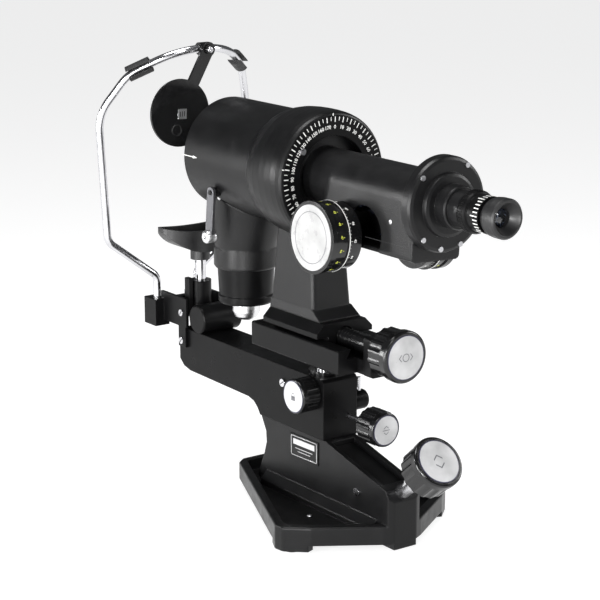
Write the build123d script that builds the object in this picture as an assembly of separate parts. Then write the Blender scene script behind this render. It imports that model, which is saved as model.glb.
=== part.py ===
"""One-position keratometer, the table instrument that measures the curve of the eye's front surface.

Frame, in millimetres: +X is the operator's right, +Y runs from the operator to the patient, +Z is up.
The origin is on the table, under the middle of the instrument. Each function makes one piece or one
group of like fasteners, and the block at the end writes every piece to its own STEP file.
"""
import os
from math import atan2, cos, degrees, hypot, pi, radians, sin, tan

from build123d import *

# ---- driving dimensions ----------------------------------------------------------------------------
AXIS_Z = 358.0            # height of the telescope's axis above the table
END_Y = 284.0             # the instrument reaches this far from the middle, front and back
RING_Y = -23.0            # front face of the axis scale
ROLL = 2.5                # degrees that the telescope is turned about its axis, left side up
RUN = 0.05                # radial clearance of a shaft in its bearing
GAP = 0.3                 # clearance between pieces that move past each other
FLUTES = 16               # shallow grooves round each knob

# base and arm
BASE_HALF = [(14, -145), (24, -140), (84, -101), (105, -82), (106, -70), (26, 110), (17, 117)]
PAD_Z = 8.0               # underside of the rim, and height of the corner pads
FOOT_H = 1.5              # rubber feet under the pads
RIM_Z = 27.0
RIM_W = 9.0
FLOOR_Z = 14.0
PLINTH_Z = 20.0
COLUMN_X = 20.0           # half width of the column
BLOCK_X = 21.5            # half width of the arm casting
STEP_Z = 88.0             # joint between the base casting and the arm casting
ARM_TOP = 152.0
ARM_END_Y = 233.0
BLOCK_Y = -37.0           # front face of the arm casting

# lift drive
POST_Y = -10.0
POST_R = 9.4
POST_TOP = 165.0
LIFT_GEAR_Z = 30.0
GEAR_R = 11.0
CROSS_APEX_Y = -105.0     # where the knob's shaft meets the cross shaft
KNOB_TILT = 40.0          # degrees of the up-and-down knob's shaft above level
KNOB_FACE = 117.1         # from that meeting point to the knob's face, along its shaft

# slide and focus
SLIDE_X = 38.5
SLIDE_Y = (-84.0, 66.0)
SLIDE_Z = (171.0, 196.0)
SADDLE_Y = (-44.0, 50.0)
FOCUS_Z = 197.0
FOCUS_R = 9.5
BEARING_Y = (-111.0, -99.0)

# head
HOUSING_R = 59.0
HOUSING_END = 162.0
HOUSING_BORE = 55.0
LAMP_Y = 132.0
ELBOW_TOP = (118.0, 340.0, 48.0)  # y, z and radius of the flared upper end of the lamp's elbow
LEVER_Y = 110.0
LEVER_X = -56.5
LEVER_Z = 327.5
LEVER_END = (114.5, 280.0)

# telescope
BARREL_R = 29.0
FLANGE_Y = (-201.0, -187.0)
FLANGE_R = 46.0
DRUM_Z = AXIS_Z - 46.5
LEFT_DRUM_Y = -80.5
RIGHT_DRUM_Y = -113.0
DRUM_R = 35.5
DRUM_X = (31.0, 68.0)      # inner and outer face of the left drum
RIGHT_DRUM_X = (31.0, 62.5)

# patient's end
CHIN_Y = 222.0
CHIN_POST_R = 6.2
CHIN_KNOB = (12.0, 109.0)
CHIN_DRIVE = (12.6, 120.7)
HOOP_Y = 271.0
HOOP_R = 4.3
SOCKET_X = 27.0
CREST = (0.0, 211.5, 463.5)
OCCLUDER_LEAN = 29.6      # degrees that the eye cover hangs to the left
OCCLUDER_DROP = 75.5      # crest to the middle of its disc


# ---- simple solids ---------------------------------------------------------------------------------
def cyl_x(r, x0, x1, y, z):
    """Cylinder along X."""
    return Pos((x0 + x1) / 2, y, z) * Rot(0, 90, 0) * Cylinder(r, x1 - x0)


def cyl_y(r, y0, y1, x, z):
    """Cylinder along Y."""
    return Pos(x, (y0 + y1) / 2, z) * Rot(90, 0, 0) * Cylinder(r, y1 - y0)


def cyl_z(r, z0, z1, x, y):
    """Cylinder along Z."""
    return Pos(x, y, (z0 + z1) / 2) * Cylinder(r, z1 - z0)


def block(x0, x1, y0, y1, z0, z1):
    """Box between two corners."""
    return Pos((x0 + x1) / 2, (y0 + y1) / 2, (z0 + z1) / 2) * Box(x1 - x0, y1 - y0, z1 - z0)


def side_plate(points, x0, x1):
    """Side outline of (y, z) points, as thick as x0 to x1."""
    outline = Plane.YZ.offset(x0) * make_face(Polyline(*points, close=True))
    return extrude(outline, x1 - x0)


def plan_plate(points, z0, z1):
    """Plan outline of (x, y) points, as high as z0 to z1."""
    outline = Plane.XY.offset(z0) * make_face(Polyline(*points, close=True))
    return extrude(outline, z1 - z0)


def both_sides(half):
    """Plan outline from its right half."""
    return half + [(-x, y) for x, y in reversed(half) if x > 0]


def turned_y(profile, x, z):
    """Solid of revolution about a line along Y, from (radius, y) points."""
    face = make_face(Polyline(*profile, close=True))
    return Pos(x, 0, z) * revolve(face, Axis.Y)


def turned_z(profile, x, y):
    """Solid of revolution about a vertical line, from (radius, z) points."""
    face = Plane.XZ * make_face(Polyline(*profile, close=True))
    return Pos(x, y, 0) * revolve(face, Axis.Z)


def rolled(shape):
    """The piece turned with the telescope about its axis."""
    return Pos(0, 0, AXIS_Z) * Rot(0, ROLL, 0) * Pos(0, 0, -AXIS_Z) * shape


def group(shapes):
    """Several separate solids in one node."""
    return Compound(children=list(shapes))


# ---- gears, knobs and screws ------------------------------------------------------------------------
def bevel_gear(radius, half_angle, bore, teeth=18, face=6.0, hub=4.0):
    """Bevel gear with its cone's point at the origin and its back along +Z."""
    lean = radians(half_angle)
    back = radius / tan(lean)
    front_r = radius - face * sin(lean)
    front_z = back - face * cos(lean)
    profile = [(bore, front_z), (front_r - GAP, front_z), (radius - GAP, back), (radius - 1, back + 1.5),
               (bore + 3, back + 1.5), (bore + 3, back + hub), (bore, back + hub)]
    gear = turned_z(profile, 0, 0)
    slot_w = 2 * pi * front_r / teeth * 0.42
    slot = Rot(0, half_angle, 0) * Box(2.2, slot_w, face * 1.6)
    slot = Pos((front_r + radius) / 2, 0, (front_z + back) / 2) * slot
    for i in range(teeth):
        gear -= Rot(0, 0, i * 360 / teeth) * slot
    return gear


def spur_gear_y(radius, y0, y1, x, z, teeth):
    """Small straight gear on a shaft along Y."""
    gear = cyl_y(radius, y0, y1, x, z)
    for i in range(teeth):
        angle = radians(i * 360 / teeth)
        gear -= cyl_y(0.8, y0 - 1, y1 + 1, x + radius * cos(angle), z + radius * sin(angle))
    return gear


def grooved(shape, place, radius, start, stop, pitch, depth):
    """Cuts ring grooves, the turns of a thread, into a round bar that stands on a place's Z axis."""
    at = start
    while at < stop:
        ring = Cylinder(radius + 1, pitch / 2) - Cylinder(radius - depth, pitch)
        shape -= place * Pos(0, 0, at + pitch / 4) * ring
        at += pitch
    return shape


def knob(grip_r, rim_r, cap_r, length, rim, bore):
    """Fluted knob along +Z from its back at 0; the rim in front holds a round inlay."""
    body = Cylinder(grip_r, length - rim, align=(Align.CENTER, Align.CENTER, Align.MIN))
    flute = Cylinder(grip_r * 0.4, length - rim, align=(Align.CENTER, Align.CENTER, Align.MIN))
    for i in range(FLUTES):
        body -= Rot(0, 0, i * 360 / FLUTES) * Pos(grip_r * 1.36, 0, 0) * flute
    front = Pos(0, 0, length - rim) * Cylinder(rim_r, rim, align=(Align.CENTER, Align.CENTER, Align.MIN))
    front = fillet(front.edges().filter_by(GeomType.CIRCLE).sort_by(Axis.Z)[-1], rim * 0.3)
    seat = Pos(0, 0, length - 1.6) * Cylinder(cap_r, 5, align=(Align.CENTER, Align.CENTER, Align.MIN))
    shaft_hole = Cylinder(bore, length - 4, align=(Align.CENTER, Align.CENTER, Align.MIN))
    return body + front - seat - shaft_hole


def knob_cap(cap_r, length):
    """Round inlay in the knob's front, just proud of its rim."""
    cap = Pos(0, 0, length - 1.6) * Cylinder(cap_r, 1.9, align=(Align.CENTER, Align.CENTER, Align.MIN))
    return fillet(cap.edges().filter_by(GeomType.CIRCLE).sort_by(Axis.Z)[-1], 0.5)


def facing(origin, direction):
    """Place whose +Z points along the direction."""
    return Plane(origin=origin, z_dir=direction).location


KNOB_DIR = (0, -cos(radians(KNOB_TILT)), sin(radians(KNOB_TILT)))
UPDOWN = {"grip_r": 26.0, "rim_r": 26.8, "cap_r": 22.3, "length": 29.0, "rim": 8.0, "bore": 4.0}
FOCUS = {"grip_r": 25.0, "rim_r": 26.6, "cap_r": 22.4, "length": 29.0, "rim": 9.0, "bore": 4.0}
CHIN = {"grip_r": 18.6, "rim_r": 17.8, "cap_r": 15.6, "length": 26.0, "rim": 6.0, "bore": 2.5}
LOCK = {"grip_r": 18.0, "rim_r": 18.4, "cap_r": 16.6, "length": 22.0, "rim": 6.0, "bore": 3.0}
FOCUS_FACE_Y = -142.0
CHIN_FACE_Y = -97.5
LOCK_FACE_X = -BLOCK_X - 1 - LOCK["length"]
LOCK_AT = (POST_Y - 6.5, 134.5)


def along_knob(distance):
    """Point on the up-and-down knob's shaft, counted from where it meets the cross shaft."""
    return (0, CROSS_APEX_Y + KNOB_DIR[1] * distance, LIFT_GEAR_Z + KNOB_DIR[2] * distance)


def slope(y, depth):
    """Point (y, z) at a depth under the column's sloping front edge."""
    return (y, STEP_Z - 0.25 * (BLOCK_Y - 1 - y) - depth)


# ---- base ---------------------------------------------------------------------------------------------
def base_casting():
    """Rim, floor, plinth and hollow column, with a pad under each corner and under the nose."""
    outline = make_face(Polyline(*both_sides(BASE_HALF), close=True))
    outline = fillet(outline.vertices(), 6)
    inner = offset(outline, -RIM_W, kind=Kind.INTERSECTION)
    rim = extrude(Pos(0, 0, PAD_Z) * outline, RIM_Z - PAD_Z)
    rim = fillet(rim.edges().group_by(Axis.Z)[-1], 2.5)
    body = rim - extrude(Pos(0, 0, FLOOR_Z) * inner, RIM_Z)
    plinth_half = [(0, -143), (14, -143), (28, -130), (28, 66), (18, 80), (0, 80)]
    body += plan_plate(both_sides(plinth_half), PAD_Z, PLINTH_Z)
    flare = [(-COLUMN_X, PLINTH_Z + 9), (-COLUMN_X - 8, PLINTH_Z), (COLUMN_X + 8, PLINTH_Z),
             (COLUMN_X, PLINTH_Z + 9)]
    body += Pos(0, 66, 0) * extrude(Plane.XZ * make_face(Polyline(*flare, close=True)), 190)
    side = [(BLOCK_Y - 1, STEP_Z), (-138, 63), (-145, 51), (-145, PAD_Z), (72, PAD_Z), (82, PLINTH_Z),
            (70, 47), (66, 60), (67, 72), (76, STEP_Z)]
    body += side_plate(side, -COLUMN_X, COLUMN_X)
    corner = [(78, -96), (86, -99), (105, -82), (106, -70), (99, -56), (82, -74)]
    for sign in (1, -1):
        body += plan_plate([(sign * x, y) for x, y in corner], FOOT_H, PAD_Z)
    body += block(-17, 17, 94, 116, FOOT_H, PAD_Z)
    body += block(-14, 14, -145, -122, FOOT_H, PAD_Z)
    body &= extrude(Pos(0, 0, FOOT_H) * outline, STEP_Z)
    body -= block(-15, 15, -130, 58, FLOOR_Z, 48)
    body -= side_plate([(-32, 40), (58, 40), (58, STEP_Z + 1), (-32, STEP_Z + 1)], -15, 15)
    body -= side_plate([slope(-125, 9), slope(-42, 9), (-42, 40), (-125, 40)], -12, 12)
    body -= side_plate([slope(-128, -9), slope(-128, 11.3), slope(-42, 11.3), slope(-42, -9)], -15, 15)
    body += cyl_z(8, FLOOR_Z, 22, 0, POST_Y)
    body -= cyl_z(3 + RUN, 15, 23, 0, POST_Y)
    for y in (-80, -40):
        body += block(-7, 7, y - 4, y + 4, FLOOR_Z, LIFT_GEAR_Z + 6)
        body -= cyl_y(3 + RUN, y - 5, y + 5, 0, LIFT_GEAR_Z)
    bearing_hole = Cylinder(8, 60, align=(Align.CENTER, Align.CENTER, Align.MIN))
    return body - facing(along_knob(24), KNOB_DIR) * bearing_hole


def foot_pads():
    """Rubber feet under the two front corners, the nose and the back."""
    spots = [(92, -80), (-92, -80), (0, -132), (0, 104)]
    return group(cyl_z(8, 0, FOOT_H, x, y) for x, y in spots)


def slope_cover():
    """Cover let into the column's sloping front, over the drive."""
    outline = [slope(-127.5, 5.5), slope(-127.5, 11.3), slope(-42.5, 11.3), slope(-42.5, 5.5)]
    return side_plate(outline, -14.7, 14.7) - facing(along_knob(30), KNOB_DIR) * Cylinder(9.7, 90)


def updown_bearing():
    """Plated collar in the nose that carries the up-and-down knob's shaft."""
    sleeve = Cylinder(8, 36, align=(Align.CENTER, Align.CENTER, Align.MIN))
    lip = Pos(0, 0, 31) * Cylinder(9.5, 5, align=(Align.CENTER, Align.CENTER, Align.MIN))
    hole = Cylinder(4 + RUN, 37, align=(Align.CENTER, Align.CENTER, Align.MIN))
    return facing(along_knob(34), KNOB_DIR) * (sleeve + lip - hole)


def name_plate():
    """Blank plate on the column's left side."""
    outline = [(-27, 83), (22, 83), (22, 58), (-27, 58)]
    tilt = [(y, z - 0.02 * (y + 27)) for y, z in outline]
    return side_plate(tilt, -COLUMN_X - 1, -COLUMN_X)


def side_screws():
    """Screw heads in the castings' sides and in the headrest bracket's cheeks, and a short pin."""
    spots = [(33.5, 133.5, BLOCK_X, 4.2), (-92, 49, COLUMN_X, 4.2), (223, 138, BLOCK_X + 3.5, 3.8),
             (223, 170, BLOCK_X + 3.5, 3.8)]
    heads = []
    for y, z, x, r in spots:
        heads.append(cyl_x(r, x, x + 1.8, y, z))
        heads.append(cyl_x(r, -x - 1.8, -x, y, z))
    pin = cyl_z(2.6, 133, 147, BLOCK_X + 5.5, -32) + cyl_x(2, BLOCK_X, BLOCK_X + 5.5, -32, 136)
    return group(heads + [pin])


# ---- arm ----------------------------------------------------------------------------------------------
def arm_casting():
    """Front block with the lift post's bore, and the hollow arm that reaches to the patient."""
    side = [(BLOCK_Y, STEP_Z), (76, STEP_Z), (81, 95), (88, 100.5), (98, 103), (212, 105), (225, 108),
            (ARM_END_Y, 115), (ARM_END_Y, ARM_TOP - 4), (ARM_END_Y - 5, ARM_TOP), (BLOCK_Y + 3, ARM_TOP),
            (BLOCK_Y, ARM_TOP - 3)]
    body = side_plate(side, -BLOCK_X, BLOCK_X)
    body -= block(-17.5, 17.5, 12, 204, 110, ARM_TOP - 5)
    body -= block(-10, 17, 210, 231.6, 112, 130)
    body -= cyl_z(CHIN_POST_R + RUN, 129, ARM_TOP + 1, 0, CHIN_Y)
    body -= cyl_z(POST_R + RUN, STEP_Z - 1, ARM_TOP + 1, 0, POST_Y)
    body -= block(4, 19.4, -33, -23, 101, 127.5)
    body -= cyl_y(2.5 + RUN, -38, -32, *CHIN_KNOB)
    body -= cyl_y(2.5 + RUN, -24, 211, *CHIN_DRIVE)
    body -= cyl_x(3 + RUN, -BLOCK_X - 1, -8, *LOCK_AT)
    boss = cyl_x(10.5, BLOCK_X - 1, BLOCK_X + 24, -19, 118)
    boss = fillet(boss.edges().filter_by(GeomType.CIRCLE).sort_by(Axis.X)[-1], 4)
    return body + boss


def lift_guide():
    """Plated bush round the lift post, on top of the arm."""
    return cyl_z(16.5, ARM_TOP, 155.5, 0, POST_Y) - cyl_z(POST_R + RUN, ARM_TOP - 1, 157, 0, POST_Y)


# ---- lift ---------------------------------------------------------------------------------------------
def lift_post():
    """Hollow post with a threaded foot that slides in the arm; a swivel plate and spigot are its top."""
    post = cyl_z(POST_R, 96, POST_TOP, 0, POST_Y)
    post += cyl_z(25, POST_TOP, 170.7, 0, POST_Y) + cyl_z(8, 170, 184, 0, POST_Y)
    post -= cyl_z(6, 106, 160, 0, POST_Y)
    return post - cyl_z(5 + RUN, 95, 107, 0, POST_Y)


def lift_screw():
    """Upright screw in the column, with a bevel gear near its foot."""
    screw = cyl_z(5, LIFT_GEAR_Z + 14, 148, 0, POST_Y)
    for start, stop in ((60, 94), (110, 146)):
        screw = grooved(screw, Pos(0, POST_Y, 0), 5, start, stop, 6, 0.6)
    screw += cyl_z(3, 15.2, LIFT_GEAR_Z + 15, 0, POST_Y)
    return screw + Pos(0, POST_Y, LIFT_GEAR_Z) * bevel_gear(GEAR_R, 45, 2.5)


def cross_shaft():
    """Level shaft in the base, with a bevel gear at each end."""
    half = (180 - KNOB_TILT) / 2
    reach = GEAR_R / tan(radians(half))
    shaft = cyl_y(3, CROSS_APEX_Y + reach - 1, POST_Y - 7, 0, LIFT_GEAR_Z)
    shaft += facing((0, CROSS_APEX_Y, LIFT_GEAR_Z), (0, 1, 0)) * bevel_gear(GEAR_R, half, 2.5)
    return shaft + facing((0, POST_Y, LIFT_GEAR_Z), (0, -1, 0)) * bevel_gear(GEAR_R, 45, 2.5)


def updown_shaft():
    """Sloping shaft from the up-and-down knob to the cross shaft, with its bevel gear."""
    half = (180 - KNOB_TILT) / 2
    reach = GEAR_R / tan(radians(half))
    length = KNOB_FACE - 5 - reach
    shaft = Pos(0, 0, reach - 1) * Cylinder(4, length, align=(Align.CENTER, Align.CENTER, Align.MIN))
    return facing(along_knob(0), KNOB_DIR) * (shaft + bevel_gear(GEAR_R, half, 3))


def updown_hub():
    """Neck behind the up-and-down knob."""
    start = 72
    hub = Cylinder(12, KNOB_FACE - UPDOWN["length"] - start, align=(Align.CENTER, Align.CENTER, Align.MIN))
    bore = Cylinder(4, KNOB_FACE - UPDOWN["length"] - start, align=(Align.CENTER, Align.CENTER, Align.MIN))
    return facing(along_knob(start), KNOB_DIR) * (hub - bore)


def placed_knob(spec, origin, direction):
    """Knob and inlay with the knob's face at the origin."""
    back = tuple(o - d * spec["length"] for o, d in zip(origin, direction))
    where = facing(back, direction)
    return where * knob(**spec), where * knob_cap(spec["cap_r"], spec["length"])


# ---- chin drive -----------------------------------------------------------------------------------------
def chin_shaft():
    """Short shaft of the chin knob, with a pinion in the front block."""
    shaft = cyl_y(2.5, CHIN_FACE_Y + 5, -26, *CHIN_KNOB)
    return shaft + spur_gear_y(6.5, -31, -25, *CHIN_KNOB, 16)


def chin_drive_shaft():
    """Long shaft through the arm, with a gear in front and a steep worm at the patient's end."""
    shaft = cyl_y(2.5, -31, CHIN_Y + 5, *CHIN_DRIVE)
    worm = cyl_y(3.3, CHIN_Y - 8, CHIN_Y + 6, *CHIN_DRIVE)
    worm = grooved(worm, facing((CHIN_DRIVE[0], 0, CHIN_DRIVE[1]), (0, 1, 0)), 3.3, CHIN_Y - 7, CHIN_Y + 5,
                   2.4, 0.6)
    return shaft + spur_gear_y(5.0, -31, -25, *CHIN_DRIVE, 12) + worm


def chin_screw():
    """Upright screw under the chin rest, with the wheel that the worm turns."""
    screw = cyl_z(3, 114, 190, 0, CHIN_Y)
    wheel_r = CHIN_DRIVE[0] - 3.3 - 0.2
    wheel = cyl_z(wheel_r, 117, 124, 0, CHIN_Y)
    for i in range(20):
        angle = radians(i * 18)
        wheel -= cyl_z(0.8, 116, 125, wheel_r * cos(angle), CHIN_Y + wheel_r * sin(angle))
    return screw + wheel


def chin_post():
    """Plated post that slides up and down, bored for its screw."""
    post = cyl_z(CHIN_POST_R, 145, 238, 0, CHIN_Y) - cyl_z(3 + RUN, 144, 215, 0, CHIN_Y)
    return post - cyl_x(1.2, -8, 8, CHIN_Y, 226)


def chin_cup():
    """Moulded chin rest: a curved trough on a boss."""
    half = [(0, -21), (20, -21.5), (38, -16), (52, -2), (51, 6), (42, 12.5), (22, 17.5), (0, 19)]
    rim = Pos(0, CHIN_Y, 236) * make_face(Spline(*both_sides(half), periodic=True))
    plan = extrude(rim, 36)
    bowl = Pos(0, CHIN_Y, 306) * Rot(90, 0, 0) * Cylinder(66, 90)
    hollow = Pos(0, CHIN_Y + 2, 311) * Rot(90, 0, 0) * Cylinder(66, 60)
    top = Pos(0, CHIN_Y, 264.5 + 260) * Rot(90, 0, 0) * Cylinder(260, 90)
    tray = (plan & bowl) - top
    inside = plan_plate([(x * 0.93, y * 0.8) for x, y in both_sides(half)], 230, 300)
    cup = tray - (hollow & Pos(0, CHIN_Y, 0) * inside)
    boss = cyl_z(11, 229, 243, 0, CHIN_Y)
    return cup + boss - cyl_z(CHIN_POST_R, 228, 238, 0, CHIN_Y)


def chin_housing():
    """Casting on the arm's end: a lying barrel, the post's guide and a side lug."""
    barrel = cyl_x(16, -23, 28, CHIN_Y - 26, ARM_TOP + 15)
    barrel = fillet(barrel.edges().filter_by(GeomType.CIRCLE), 2.5)
    guide = cyl_z(12.5, ARM_TOP, 180, 0, CHIN_Y) + block(-9, 9, CHIN_Y - 20, CHIN_Y, ARM_TOP, 176)
    guide -= cyl_z(CHIN_POST_R + RUN, ARM_TOP - 1, 190, 0, CHIN_Y)
    lug = block(-18.5, -13.5, CHIN_Y - 5, CHIN_Y + 4, 170, 209)
    lug += block(-18.5, -8, CHIN_Y - 5, CHIN_Y + 4, 168, 178)
    barrel -= block(-40, 40, CHIN_Y - 60, CHIN_Y, ARM_TOP - 20, ARM_TOP)
    return guide + barrel + lug


def chin_post_guide():
    """Moulded collar round the chin post, on top of its housing."""
    return cyl_z(12, 180, 205, 0, CHIN_Y) - cyl_z(CHIN_POST_R + RUN, 179, 206, 0, CHIN_Y)


# ---- headrest -------------------------------------------------------------------------------------------
def headrest_bracket():
    """Cheeks on the arm's end, joined by a web, with a socket block for each leg of the hoop."""
    body = block(-SOCKET_X + 1, SOCKET_X - 1, 262, 270, 154, 178)
    for sign in (1, -1):
        x0, x1 = sorted((sign * BLOCK_X, sign * (BLOCK_X + 3.5)))
        body += block(x0, x1, 214, 266, 154, 187) + block(x0, x1, 216, 230, 131, 156)
        s0, s1 = sorted((sign * (SOCKET_X - 9), sign * (SOCKET_X + 9)))
        body += block(s0, s1, 260, END_Y, 148, 178.5)
        body -= cyl_z(HOOP_R, 156, 185, sign * SOCKET_X, HOOP_Y)
    return body


def hoop_route():
    """Middle line of the hoop: sockets, lyre-shaped legs, and an arch bowed towards the operator."""
    right = [(SOCKET_X, HOOP_Y, 156), (SOCKET_X, HOOP_Y, 203), (89.5, HOOP_Y, 250), (97, HOOP_Y + 1, 392),
             (73, 246, 438), (30, CREST[1], CREST[2])]
    left = [(-x, y, z) for x, y, z in reversed(right)]
    return FilletPolyline(*right, *left, radius=[12, 16, 55, 55, 70, 70, 55, 55, 16, 12])


def headrest_hoop():
    """Plated tube that the patient's forehead rests against."""
    route = hoop_route()
    start = Plane(origin=route @ 0, z_dir=route % 0)
    return sweep(start * Circle(HOOP_R), path=route)


def forehead_pads(hoop):
    """Rubber strips along the arch, on each side of its crest."""
    place = Plane(origin=(64, 239, 443), x_dir=(0.62, -0.78, 0), z_dir=(-43, -34.5, 25.5)).location
    pad = place * (Cylinder(8.6, 27) - Box(30, 7.4, 30))
    pads = (pad - hoop).solids() + (mirror(pad, Plane.YZ) - hoop).solids()
    return group(pads)


def occluder_blade():
    """Round eye cover on a stepped arm, hung from the arch's crest."""
    front, back = CREST[1] - 11.5, CREST[1] - 8.5
    disc = cyl_y(36.5, front, back, 0, CREST[2] - OCCLUDER_DROP)
    arm = block(-7, 7, front, back, CREST[2] - 42, CREST[2] - 1) + cyl_y(8, front, back, 0, CREST[2])
    blade = disc + arm - cyl_y(3 + RUN, front - 1, back + 1, 0, CREST[2])
    return Pos(0, 0, CREST[2]) * Rot(0, OCCLUDER_LEAN, 0) * Pos(0, 0, -CREST[2]) * blade


def occluder_pivot(hoop):
    """Clip round the crest with the screw that the eye cover turns on."""
    clip = cyl_x(6.8, -6, 6, CREST[1], CREST[2])
    pin = cyl_y(3, CREST[1] - 13.5, CREST[1] - 6, 0, CREST[2])
    head = cyl_y(5.2, CREST[1] - 14.5, CREST[1] - 11.8, 0, CREST[2])
    return clip + pin + head - hoop


# ---- slide and focus ------------------------------------------------------------------------------------
def slide_block():
    """Swinging slide base with a dovetail groove along its top."""
    body = block(-SLIDE_X, SLIDE_X, *SLIDE_Y, *SLIDE_Z)
    body = chamfer(body.edges().filter_by(Axis.Y), 1.2)
    top, deep = SLIDE_Z[1], SLIDE_Z[1] - 9.5
    groove = [(-22, top + 1), (-28, deep), (28, deep), (22, top + 1)]
    body -= Pos(0, SLIDE_Y[1] + 1, 0) * extrude(Plane.XZ * make_face(Polyline(*groove, close=True)), 152)
    return body - cyl_z(8 + RUN, SLIDE_Z[0] - 1, 184.3, 0, POST_Y)


def focus_bearing():
    """Plate that carries the focusing screw, on a shelf at the front of the slide base."""
    y0, y1 = BEARING_Y
    plate = block(-19, 19, y0, y1, SLIDE_Z[0], 212)
    plate = fillet(plate.edges().filter_by(Axis.Y), 4)
    shelf = block(-15, 15, y1 - 1, SLIDE_Y[0], SLIDE_Z[0], 186)
    return plate + shelf - cyl_y(4 + RUN, y0 - 1, y1 + 1, 0, FOCUS_Z)


def focus_screw():
    """Ridged screw from the focus knob to the nut under the saddle."""
    screw = cyl_y(FOCUS_R, BEARING_Y[1] + 0.5, 45, 0, FOCUS_Z)
    screw = grooved(screw, facing((0, 0, FOCUS_Z), (0, 1, 0)), FOCUS_R, -70, -18, 5, 0.8)
    return screw + cyl_y(4, FOCUS_FACE_Y + 5, BEARING_Y[1] + 1, 0, FOCUS_Z)


def saddle():
    """Carriage with a dovetail tongue and a threaded lug, driven along the base by the focusing screw."""
    wide, narrow = SLIDE_X - 3.5, 26.0
    low, high = SLIDE_Z[1] + 3, SLIDE_Z[1] + 17
    length = SADDLE_Y[1] - SADDLE_Y[0]
    ends = [(-wide, low), (-wide, low + 5), (-narrow, high), (narrow, high), (wide, low + 5), (wide, low)]
    top, deep = low + 1, SLIDE_Z[1] - 9.5 + GAP
    tongue = [(-20.5, top), (-20.5, low - 1), (-27.4, deep), (27.4, deep), (20.5, low - 1), (20.5, top)]
    body = extrude(Plane.XZ * make_face(Polyline(*ends, close=True)), length)
    body += extrude(Plane.XZ * make_face(Polyline(*tongue, close=True)), length)
    body = Pos(0, SADDLE_Y[1], 0) * body
    channel = block(-11, 11, SADDLE_Y[0] - 1, SADDLE_Y[1] + 1, 180, FOCUS_Z)
    body -= channel + cyl_y(11, SADDLE_Y[0] - 1, SADDLE_Y[1] + 1, 0, FOCUS_Z)
    nut = block(-12, 12, -10, 22, deep + 1, FOCUS_Z + 13) - cyl_y(FOCUS_R + RUN, -11, 23, 0, FOCUS_Z)
    return body + nut


# ---- head -------------------------------------------------------------------------------------------------
def rectangle_at(half_x, y0, y1, z):
    """Level rectangle for the pedestal's outline."""
    return Pos(0, (y0 + y1) / 2, z) * Rectangle(2 * half_x, y1 - y0)


def housing_outside():
    """Outer form of the head: a drum with a swollen front."""
    y = RING_Y
    profile = [(0, y), (61.5, y), (63.5, y + 0.8), (65, y + 3), (65.9, y + 8), (66.4, y + 16), (66.5, y + 25),
               (66.2, y + 36), (65.2, y + 48), (63.2, y + 58), (61, y + 64), (HOUSING_R, y + 67),
               (HOUSING_R, HOUSING_END - 2), (HOUSING_R - 2, HOUSING_END), (0, HOUSING_END)]
    return turned_y(profile, 0, AXIS_Z)


def pedestal():
    """Tapered hollow post between the saddle and the head."""
    base_z = SLIDE_Z[1] + 17
    sections = [rectangle_at(24.5, -22.5, 51, base_z + 8), rectangle_at(20.5, -15, 43.5, AXIS_Z - 45)]
    body = loft(sections)
    uprights = [e for e in body.edges() if abs(e.tangent_at(0.5).Z) > 0.8]
    body = fillet(uprights, 4)
    body += loft([rectangle_at(26, -36, 50, base_z), rectangle_at(24.5, -22.5, 51, base_z + 10)])
    body -= loft([rectangle_at(18, -16, 44, base_z - 1), rectangle_at(15, -9, 37, AXIS_Z - 45)])
    return body - housing_outside()


def drum_housing():
    """Head casting: the drum that the telescope turns in."""
    body = housing_outside()
    body -= cyl_y(HOUSING_BORE, RING_Y - 1, HOUSING_END + 1, 0, AXIS_Z)
    body -= cyl_y(61.5, RING_Y - 1, RING_Y + 8.4, 0, AXIS_Z)
    body -= cyl_z(27, AXIS_Z - 80, AXIS_Z - 20, 0, LAMP_Y)
    pivot = cyl_x(5, LEVER_X + GAP, LEVER_X + 8, LEVER_Y, LEVER_Z)
    pivot += cyl_x(2.5, LEVER_X - 4, LEVER_X + 8, LEVER_Y, LEVER_Z)
    return body + (pivot - cyl_y(HOUSING_R - 1, LEVER_Y - 20, LEVER_Y + 20, 0, AXIS_Z))


def lamp_elbow():
    """Upper lamp casting: a flared, forward-leaning tube under the drum, which ends in a smooth collar."""
    top_y, top_z, top_r = ELBOW_TOP
    outside = loft([Pos(0, LAMP_Y, 258) * Circle(33.6), Pos(0, top_y, top_z) * Circle(top_r)])
    inside = loft([Pos(0, LAMP_Y, 257) * Circle(28.5), Pos(0, top_y, top_z + 1) * Circle(top_r - 5)])
    collar = [(20, 238), (33.2, 238), (34.6, 240), (34.6, 259.5), (33.8, 261), (20, 261)]
    body = outside + turned_z(collar, 0, LAMP_Y) - inside
    body -= cyl_z(28.5, 237, 262, 0, LAMP_Y)
    return body - cyl_y(HOUSING_R, LAMP_Y - 80, LAMP_Y + 50, 0, AXIS_Z)


def lamp_cup():
    """Cup that holds the lamp socket from below."""
    profile = [(9, 199), (29, 199), (30.2, 201), (30.2, 207), (29.2, 208.5), (30.8, 238), (27.5, 238),
               (26, 203), (9, 203)]
    return turned_z(profile, 0, LAMP_Y)


def lamp_socket():
    """Lamp holder with its rounded foot under the cup."""
    profile = [(0, 178), (7.5, 179), (12.5, 182.5), (15, 188), (15, 199), (9, 199), (9, 214), (0, 214)]
    return turned_z(profile, 0, LAMP_Y)


def lamp_bulb():
    """Small round lamp."""
    profile = [(0, 214), (5.5, 214), (6, 220), (9.5, 227), (10, 232), (8.5, 238), (4.5, 241.5), (0, 242.5)]
    return turned_z(profile, 0, LAMP_Y)


def mirror_plate():
    """Slanting mirror with a clear middle that turns the lamp's light towards the patient."""
    plate = Pos(0, LAMP_Y - 13, AXIS_Z) * Rot(-45, 0, 0) * Box(70, 80, 2.5)
    frame = plate & cyl_y(54.6, 40, 160, 0, AXIS_Z)
    return frame - cyl_y(20, 40, 160, 0, AXIS_Z)


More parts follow.
